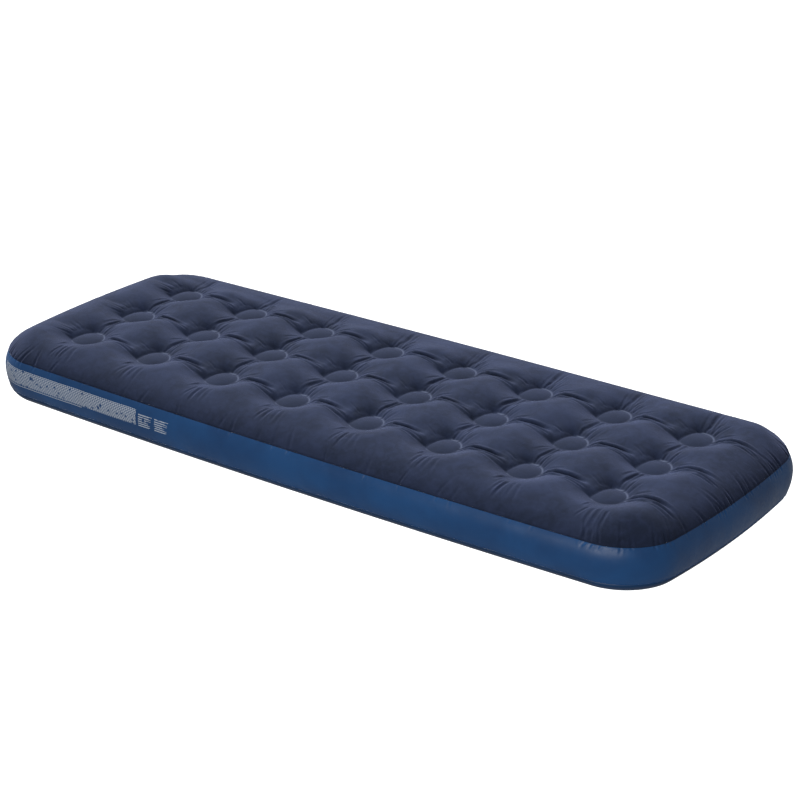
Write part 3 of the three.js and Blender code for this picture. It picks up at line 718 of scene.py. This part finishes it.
class Finish:
    """A node material, with its shader ready and its nodes added by name."""

    def __init__(self, name, roughness, **surface):
        self.material = bpy.data.materials.new(name)
        self.material.use_nodes = True
        self.tree = self.material.node_tree
        self.shader = self.tree.nodes["Principled BSDF"]
        self.shader.inputs["Roughness"].default_value = roughness
        for socket, value in surface.items():
            self.shader.inputs[socket.replace("_", " ")].default_value = value
        self.place = self.add("ShaderNodeTexCoord").outputs["Object"]

    def feed(self, value, socket):
        """Links an output to the socket, or sets a plain value on it."""
        if isinstance(value, bpy.types.NodeSocket):
            self.tree.links.new(value, socket)
        else:
            socket.default_value = value

    def add(self, kind, sockets=None, **settings):
        node = self.tree.nodes.new(kind)
        for name, value in settings.items():
            setattr(node, name, value)
        for socket, value in (sockets or {}).items():
            self.feed(value, node.inputs[socket])
        return node

    def link(self, value, socket):
        self.tree.links.new(value, self.shader.inputs[socket])

    def attribute(self, name):
        return self.add("ShaderNodeAttribute", attribute_name=name).outputs["Fac"]

    def noise(self, scale, detail=3.0, distortion=0.0):
        sockets = {"Vector": self.place, "Scale": scale, "Detail": detail, "Distortion": distortion}
        return self.add("ShaderNodeTexNoise", sockets).outputs["Fac"]

    def white_noise(self, dimensions, **sockets):
        return self.add("ShaderNodeTexWhiteNoise", sockets, noise_dimensions=dimensions).outputs["Value"]

    def spread(self, value, low, high, to_low=0.0, to_high=1.0):
        sockets = {"Value": value, "From Min": low, "From Max": high, "To Min": to_low, "To Max": to_high}
        return self.add("ShaderNodeMapRange", sockets).outputs["Result"]

    def mix(self, share, first, second):
        return self.add("ShaderNodeMix", {0: share, 6: first, 7: second}, data_type="RGBA").outputs[2]

    def math(self, operation, first, second=0.0):
        return self.add("ShaderNodeMath", {0: first, 1: second}, operation=operation).outputs[0]

    def bump(self, height, distance, strength=1.0, after=None):
        sockets = {"Height": height, "Distance": distance, "Strength": strength}
        if after is not None:
            sockets["Normal"] = after
        return self.add("ShaderNodeBump", sockets).outputs["Normal"]


def navy_flock():
    finish = Finish("navy_flock", 0.95, Specular_IOR_Level=0.08, Sheen_Weight=0.33, Sheen_Roughness=0.36,
                    Sheen_Tint=linear("8a94c0"))
    blotches = finish.spread(finish.noise(11, 3, 0.8), 0.36, 0.66)
    brushed = finish.spread(finish.noise(60, 4, 0.5), 0.4, 0.68)
    base = finish.mix(blotches, linear("1c2334"), linear("232b40"))
    # The brushed nap is a random tone of the flock. The pads are darker: crushed flock, and painted shade
    # of the pits they lie in.
    for place, most, colour in ((brushed, 0.35, "2b344e"), (finish.attribute("pressed_and_shaded"), 0.5, "182032"),
                                # The weld beads and the seam are lighter: flattened flock, and a painted
                                # highlight along the beads.
                                (finish.attribute("weld"), 0.7, "5a6278")):
        base = finish.mix(finish.math("MULTIPLY", place, most), base, linear(colour))
    finish.link(base, "Base Color")
    nap = finish.bump(finish.noise(1500, 2), 0.0004, 0.5)
    finish.link(finish.bump(brushed, 0.0005, 0.3, nap), "Normal")
    return finish.material


# Rows of short dashes stand for the small print on the band. Each block has its ends along the outline,
# its lowest and highest edge, the height of its rows, the length of its dashes (metres), how uneven the
# rows' ends are, and how much of each row is ink. The last block is a plain line.
BLOCK_KEYS = ("start", "end", "low", "high", "row", "dash", "uneven", "ink")
PRINT_BLOCKS = [dict(zip(BLOCK_KEYS, block)) for block in (
    (0.020, 0.476, 0.0505, 0.0868, 0.0036, 0.0034, 0.0, 0.56),
    (0.484, 0.527, 0.0495, 0.0795, 0.0052, 0.0012, 0.45, 0.42),
    (0.534, 0.578, 0.0495, 0.0795, 0.0052, 0.0012, 0.5, 0.42),
    (0.012, 0.300, 0.0463, 0.0474, 1.0, 0.0034, 0.0, 1.0),
)]
DASH_GROUP = 0.0068
GROUPS_LEFT_OUT = 0.05
ROW_SHIFT = 0.31  # each row starts this share of a dash and its gap after the one under it
ROW_EDGE = 0.03  # softness of the rows' edges, as a share of a row
DASH_EDGE = (0.1, 0.2)  # a dash begins between these shares of its run
INK_COVER = 0.92


def block_of_print(finish, block, travel, rise):
    """How much ink one block has at each point."""
    lines = finish.math("DIVIDE", rise, block["row"])
    row = finish.math("FLOOR", lines)
    shortest = block["end"] - block["uneven"] * (block["end"] - block["start"])
    end = finish.spread(finish.white_noise("1D", W=row), 0, 1, shortest, block["end"])
    factors = []
    for value, low, high in ((travel, block["start"], end), (rise, block["low"], block["high"])):
        factors += [finish.math("GREATER_THAN", value, low), finish.math("LESS_THAN", value, high)]
    if block["ink"] < 1:
        gap = 0.5 * (1 - block["ink"])
        across = finish.math("PINGPONG", finish.math("ADD", lines, 0.5), 0.5)
        factors.append(finish.spread(across, gap - ROW_EDGE, gap + ROW_EDGE))
        dashes = finish.math("DIVIDE", travel, 2 * block["dash"])
        shifted = finish.math("ADD", dashes, finish.math("MULTIPLY", row, ROW_SHIFT))
        factors.append(finish.spread(finish.math("PINGPONG", shifted, 0.5), *DASH_EDGE))
        group = finish.math("FLOOR", finish.math("DIVIDE", travel, DASH_GROUP))
        cell = finish.add("ShaderNodeCombineXYZ", {"X": group, "Y": row}).outputs["Vector"]
        noise = finish.white_noise("2D", Vector=cell)
        factors.append(finish.math("GREATER_THAN", noise, GROUPS_LEFT_OUT))
    ink = factors[0]
    for factor in factors[1:]:
        ink = finish.math("MULTIPLY", ink, factor)
    return ink


def small_print(finish):
    """How much ink each point has."""
    travel, rise = finish.attribute("travel"), finish.attribute("rise")
    ink = 0.0
    for block in PRINT_BLOCKS:
        ink = finish.math("ADD", block_of_print(finish, block, travel, rise), ink)
    return ink


def blue_pvc(name, dark, light, specular):
    finish = Finish(name, 0.45, Specular_IOR_Level=specular)
    cloud = finish.spread(finish.noise(9, 3, 0.3), 0.35, 0.65)
    base = finish.mix(cloud, linear(dark), linear(light))
    base = finish.mix(finish.math("MULTIPLY", small_print(finish), INK_COVER), base, linear("d2d9e0"))
    finish.link(base, "Base Color")
    scuff = finish.noise(130, 5, 0.8)
    finish.link(finish.spread(scuff, 0.3, 0.7, 0.34, 0.46), "Roughness")
    grain = finish.bump(finish.noise(2200, 2), 0.00006, 0.5)
    finish.link(finish.bump(finish.noise(38, 2), 0.0008, 0.4, grain), "Normal")
    return finish.material


# Moulded pieces: roughness, two colours that cloud into each other, specular level, depth of the grain,
# and how much light passes through.
MOULDED = {
    "valve_pvc": (0.42, "131f36", "192742", 0.35, 0.00005, 0),
    "valve_plastic": (0.34, "191c23", "1f222a", 0.45, 0.00003, 0),
    "seal_rubber": (0.6, "b1b4b8", "bec1c4", 0.3, 0.00006, 0),
    "beam_pvc": (0.45, "515f74", "5b6b80", 0.35, 0.0001, 0.15),
}


def moulded(name, roughness, dark, light, specular, grain, passes):
    """A moulded plastic or rubber: a slightly clouded colour, a fine grain and uneven gloss."""
    finish = Finish(name, roughness, Specular_IOR_Level=specular, Transmission_Weight=passes)
    cloud = finish.spread(finish.noise(140, 3, 0.5), 0.35, 0.65)
    finish.link(finish.mix(cloud, linear(dark), linear(light)), "Base Color")
    gloss = finish.spread(finish.noise(420, 4), 0.3, 0.7, roughness - 0.06, roughness + 0.08)
    finish.link(gloss, "Roughness")
    finish.link(finish.bump(finish.noise(2600, 2), grain, 0.6), "Normal")
    return finish.material


finishes = {name: moulded(name, *look) for name, look in MOULDED.items()}


def floor_white():
    finish = Finish("floor_white", 0.9, Specular_IOR_Level=0.1)
    finish.link(finish.mix(finish.noise(3, 2), linear("f4f4f4"), linear("f8f8f8")), "Base Color")
    return finish.material


# ---- Studio ----

def add_floor(side):
    corners = [(-side, -side, 0), (side, -side, 0), (side, side, 0), (-side, side, 0)]
    floor = mesh_object("floor", corners, [(0, 1, 2, 3)], floor_white(), smooth=False)
    floor.visible_diffuse = False  # the floor stays white without lighting the sides from below
    floor.visible_glossy = False


def add_light(name, kind, energy, place, aim, **settings):
    data = bpy.data.lights.new(name, kind)
    data.energy = energy
    for setting, value in settings.items():
        setattr(data, setting, value)
    light = add_object(name, data)
    light.location = place
    light.rotation_euler = (Vector(aim) - Vector(place)).to_track_quat("-Z", "Y").to_euler()


def add_studio():
    add_floor(side=30)
    world = bpy.data.worlds.new("studio")
    bpy.context.scene.world = world
    world.use_nodes = True
    background = world.node_tree.nodes["Background"]
    background.inputs["Color"].default_value = (0.97, 0.98, 1, 1)
    background.inputs["Strength"].default_value = 0.33
    # The sun is large and soft. It casts no shadow, so the white floor stays even.
    add_light("back_left", "SUN", 6.6, (-0.60, 0.46, 0.65), (0, 0, 0),
              angle=math.radians(32), use_shadow=False)
    add_light("front", "AREA", 48, (0.9, -3.0, 1.1), (0.2, 0, 0.05),
              shape="RECTANGLE", size=2.6, size_y=0.8)
    bpy.context.scene.view_settings.view_transform = "Standard"


# ---- Valve ----
# Sections are closed loops of (radius, distance out of the wall), in millimetres. Out is -X.

BASE_SECTION = [
    (17, -14), (20, -14), (20, -2.3), (25, -2.3), (25, -0.8), (20, -0.8), (20, 5), (21.5, 5.6),
    (21.5, 8), (17, 8)]
GASKET_SECTION = [(17.2, 8.3), (20.8, 8.3), (20.8, 9.1), (17.2, 9.1)]
PLUG_RADIUS, PLUG_NECK, PLUG_RIM = 16.6, 13.5, 22
SEAT = (-11, -9.5)
PLUG_SECTION = [
    (9, SEAT[0]), (PLUG_RADIUS, SEAT[0]), (PLUG_RADIUS, 9.4), (PLUG_RIM, 9.4), (PLUG_RIM, 11.2),
    (PLUG_NECK, 11.2), (PLUG_NECK, 17.5), (11, 17.5), (11, SEAT[1]), (9, SEAT[1])]
SEAT_BAR_HALF_LENGTH, SEAT_BAR_HALF_WIDTH = 9.5, 0.9
CAP_RADIUS = 17
CAP_SECTION = [(0, 17.8), (13.9, 17.8), (13.9, 11.9), (CAP_RADIUS, 11.9), (CAP_RADIUS, 19.8), (0, 19.8)]
GRIP_LEVELS = [  # half length, half width and distance out of the bar on the cap
    (12.5, 1.75, 19.2), (12.5, 1.75, 21.6), (12.4, 1.65, 22.2), (12.1, 1.35, 22.6), (11.6, 0.85, 22.8)]
FLAP_RADIUS, TAB_HALF_WIDTH, TAB_TOP = 10.4, 2.5, 12.4
FLAP_LEVELS = [(0.985, -11.3), (1, -11.45), (1, -12.15), (0.985, -12.3)]  # scale and distance out
THREAD_DEPTH = 0.55
RING_WIDTH, RING_THICKNESS = 2, 1.6
RINGS = [  # name, inner radius, distance out, body and CAD node
    ("base_strap_ring", 20.3, 2, "mattress", "base_tether_ring"),
    ("plug_strap_ring", 22.3, 9.5, "plug_collar", "plug_tether_ring"),
    ("cap_strap_ring", 17.3, 12.7, "cap_collar", "cap_tether_ring"),
]
STRAP_SECTION = [(5, 0), (7.5, 0), (7.5, 1.1), (2.5, 1.1), (2.5, 0)]
STRAP_MIDDLE = [5, 0.55]
# Each strap loops out to a bulge between two (radius, out) ends, up (1) or down (-1) from the valve.
# Each also lists a bend between two distances out, and the bodies at its two ends.
STRAPS = [
    dict(name="plug_strap", node="plug_tether_strap", bodies=("mattress", "plug_collar"),
         lower=(21.9, 2.8), upper=(24.6, 10.3), bulge=34, way=-1, bend=(4, 9.4)),
    dict(name="cap_strap", node="cap_tether_strap", bodies=("plug", "cap_collar"),
         lower=(21.1, 12.05), upper=(18.9, 14.3), bulge=31, way=1, bend=(12.3, 14.2)),
]
MERGE = 2e-6  # points of the valve's meshes closer than this are one
SHARP = math.radians(38)  # edges that turn by more than this stay sharp


def rounded(section, radius, steps=4):
    """A closed section with every corner rounded, except those on the axis."""
    corners = np.array(section, float)
    points = []
    for before, corner, after in zip(np.roll(corners, 1, 0), corners, np.roll(corners, -1, 0)):
        if corner[0] < 1e-6:
            points.append(corner)
            continue
        back, ahead = before - corner, after - corner
        size = min(radius, 0.45 * np.linalg.norm(back), 0.45 * np.linalg.norm(ahead))
        start = corner + size * back / np.linalg.norm(back)
        end = corner + size * ahead / np.linalg.norm(ahead)
        for t in np.linspace(0, 1, steps + 1):
            points.append((1 - t) ** 2 * start + 2 * t * (1 - t) * corner + t ** 2 * end)
    return np.array(points)


def densified(section, step):
    """The same closed section with no gap between its points longer than step."""
    points = []
    for here, after in zip(section, np.roll(section, -1, 0)):
        count = max(1, math.ceil(np.linalg.norm(after - here) / step))
        points += [here + (after - here) * k / count for k in range(count)]
    return np.array(points)


def valve_place(across, up, out):
    """Points in metres from millimetres across the valve, up, and out of the wall."""
    across, up, out = np.broadcast_arrays(across, up, out)
    return np.stack([VALVE.x - out / 1000, VALVE.y + across / 1000, VALVE.z + up / 1000], -1)


def faced_out(points, faces):
    """The faces of a closed mesh, turned round if they face inwards."""
    a, b, c, d = (points[faces[:, k]] for k in range(4))
    volume = (np.cross(a, b) * c).sum() + (np.cross(a, c) * d).sum()
    return faces if volume > 0 else faces[:, ::-1]


def turned_shell(section, sides=96, cuts=()):
    """Points and quads of a section turned about the valve's axis. Each cut alters the radii."""
    angle = np.arange(sides) * 2 * math.pi / sides
    radius, out = (np.repeat(section[:, k:k + 1], sides, axis=1) for k in (0, 1))
    for cut, settings in cuts:
        radius = cut(radius, out, angle, **settings)
    points = valve_place(radius * np.cos(angle), radius * np.sin(angle), out).reshape(-1, 3)
    rings = grid_index(len(section), sides)
    return points, faced_out(points, faces_between(np.vstack([rings, rings[:1]])))


def lofted_shell(loops):
    """Points and faces of a solid through loops of points, closed by fans at both ends."""
    count = len(loops[0])
    middles = [loops[0].mean(axis=0), loops[-1].mean(axis=0)]
    points = np.concatenate([*loops, middles])
    sides = faces_between(grid_index(len(loops), count))
    first, last = len(points) - 2, len(points) - 1
    around = np.arange(count)
    ahead = np.roll(around, -1)
    top = (len(loops) - 1) * count
    fans = np.concatenate([np.stack([np.full(count, first), ahead, around, around], -1),
                           np.stack([np.full(count, last), top + around, top + ahead, top + ahead], -1)])
    return points, faced_out(points, np.concatenate([sides, fans]))


def valve_object(name, shells, finish):
    """One object from shells of points and faces. Doubled points are merged, as on the axis."""
    points, faces, start = [], [], 0
    for shell_points, shell_faces in shells:
        points.append(shell_points)
        faces.append(shell_faces + start)
        start += len(shell_points)
    build = bmesh.new()
    corners = [build.verts.new(point) for point in np.concatenate(points)]
    for face in np.concatenate(faces):
        build.faces.new([corners[k] for k in dict.fromkeys(face.tolist())])
    bmesh.ops.remove_doubles(build, verts=build.verts, dist=MERGE)
    bmesh.ops.dissolve_degenerate(build, edges=build.edges, dist=MERGE / 2)
    for face in build.faces:
        face.smooth = True
    for edge in build.edges:
        edge.smooth = edge.calc_face_angle(0) < SHARP
    mesh = bpy.data.meshes.new(name)
    build.to_mesh(mesh)
    build.free()
    mesh.materials.append(finishes[finish])
    return add_object(name, mesh)


def thread(radius, out, angle, outer, low, high, pitch):
    """Cuts a thread into a cylinder of radius outer, between two distances out."""
    on_thread = (np.abs(radius - outer) < 0.05) & (out > low) & (out < high)
    wave = 0.5 + 0.5 * np.cos(2 * math.pi * out / pitch + angle)
    return radius - THREAD_DEPTH * on_thread * wave ** 2


def scallops(radius, out, angle, outer, low, high, count, depth, sharpness):
    """Cuts grooves along the edge of a cylinder of radius outer. They fade in from 1.6 mm inside it."""
    on_edge = np.clip((radius - outer + 1.6) / 1.2, 0, 1) * ((out > low) & (out < high))
    return radius - depth * on_edge * (0.5 + 0.5 * np.cos(count * angle)) ** sharpness


def plug_shells():
    body = turned_shell(densified(rounded(PLUG_SECTION, 0.4), 0.4), 180, PLUG_CUTS)
    return [body] + [lofted_shell([seat_bar(turn, out) for out in SEAT])
                     for turn in (math.pi / 4, 3 * math.pi / 4)]


def seat_bar(turn, out):
    """Outline of one bar of the cross that the check flap closes against."""
    ways = np.array([(-1, -1), (1, -1), (1, 1), (-1, 1)])
    x, y = (ways * [SEAT_BAR_HALF_LENGTH, SEAT_BAR_HALF_WIDTH]).T
    c, s = math.cos(turn), math.sin(turn)
    return valve_place(c * x - s * y, s * x + c * y, out)


def stadium(half_length, half_width, out, steps=10):
    """A bar's outline with round ends, across the valve's axis."""
    turn = np.linspace(-math.pi / 2, math.pi / 2, steps)
    end = half_width * np.column_stack([np.cos(turn), np.sin(turn)]) + [half_length - half_width, 0]
    outline = np.concatenate([end, -end])
    return valve_place(outline[:, 1], outline[:, 0], out)


def cap_shells():
    body = turned_shell(densified(rounded(CAP_SECTION, 1.1, 6), 0.7), 264, CAP_CUTS)
    return [body, lofted_shell([stadium(*level) for level in GRIP_LEVELS])]


def flap_shell():
    """A round rubber flap with a hinge tab at its upper edge."""
    meet = math.asin(TAB_HALF_WIDTH / FLAP_RADIUS)
    turn = np.linspace(math.pi / 2 + meet, 2.5 * math.pi - meet, 72)
    disc = np.column_stack([FLAP_RADIUS * np.cos(turn), FLAP_RADIUS * np.sin(turn)])
    outline = np.concatenate([disc, [(TAB_HALF_WIDTH, TAB_TOP), (-TAB_HALF_WIDTH, TAB_TOP)]])
    return lofted_shell([valve_place(scale * outline[:, 0], scale * outline[:, 1], out)
                         for scale, out in FLAP_LEVELS])


def ring_shell(inner, start):
    outer, end = inner + RING_WIDTH, start + RING_THICKNESS
    return turned_shell(rounded([(inner, start), (outer, start), (outer, end), (inner, end)], 0.55))


def tether_strap(name, node, bodies, lower, upper, bulge, way, bend):
    """A ribbon that loops outwards between two rings."""
    t = np.linspace(0, 1, 41)[:, None]
    controls = [np.array(point, float) for point in (lower, (bulge, lower[1]), (bulge, upper[1]), upper)]
    weights = [(1 - t) ** 3, 3 * t * (1 - t) ** 2, 3 * t ** 2 * (1 - t), t ** 3]
    middle = sum(weight * control for weight, control in zip(weights, controls))
    tangent = np.gradient(middle, axis=0)
    across = np.column_stack([-tangent[:, 1], tangent[:, 0]]) / np.linalg.norm(tangent, axis=1)[:, None]
    ribbon = rounded(STRAP_SECTION, 0.45) - STRAP_MIDDLE
    loops = []
    for place, normal in zip(middle, across):
        line = place + ribbon[:, 1:] * normal
        loops.append(valve_place(ribbon[:, 0], way * line[:, 0], line[:, 1]))
    obj = valve_object(name, [lofted_shell(loops)], "valve_pvc")
    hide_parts(node)
    start, end = (valve_place(0, 0, out) for out in bend)
    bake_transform(obj)


PLUG_CUTS = [
    (thread, dict(outer=PLUG_RADIUS, low=-9, high=8, pitch=4)),
    (thread, dict(outer=PLUG_NECK, low=12, high=17, pitch=3)),
    (scallops, dict(outer=PLUG_RIM, low=9, high=11.6, count=30, depth=0.7, sharpness=3)),
]
CAP_CUTS = [(scallops, dict(outer=CAP_RADIUS, low=12.3, high=19, count=44, depth=0.45, sharpness=1))]


def add_valve():
    base = [turned_shell(rounded(BASE_SECTION, 0.7), 120)]
    gasket = [turned_shell(rounded(GASKET_SECTION, 0.35))]
    pieces = [
        ("valve_base_moulding", base, "mattress", "valve_pvc", "valve_base"),
        ("plug_gasket", gasket, "plug_collar", "seal_rubber", "valve_gasket"),
        ("screw_plug", plug_shells(), "plug", "valve_plastic", "valve_plug"),
        ("check_valve_flap", [flap_shell()], "flap", "seal_rubber", "check_flap"),
        ("cap_with_grip", cap_shells(), "cap", "valve_plastic", "valve_cap"),
    ]
    pieces += [(name, [ring_shell(inner, start)], body, "valve_pvc", node)
               for name, inner, start, body, node in RINGS]
    for name, shells, body, finish, node in pieces:
        finish_piece(valve_object(name, shells, finish), body, finish, node)
    for strap in STRAPS:
        tether_strap(**strap)


# ---- The mattress ----

top_sheet(navy_flock())
side_band(blue_pvc("blue_pvc", "113b68", "164677", 0.34))
# A darker copy of the same blue PVC: painted shade on the bottom sheet, which faces down.
bottom_sheet(blue_pvc("blue_pvc_shaded_underside", "0b2a4c", "0f345a", 0.25))
add_valve()
for row in range(ROWS):
    for column in range(COLUMNS):
        beam = bpy.data.objects[f"coil_beam_{row + 1}_{column + 1}"]
        beam.data.materials.clear()
        beam.data.materials.append(finishes["beam_pvc"])
add_studio()
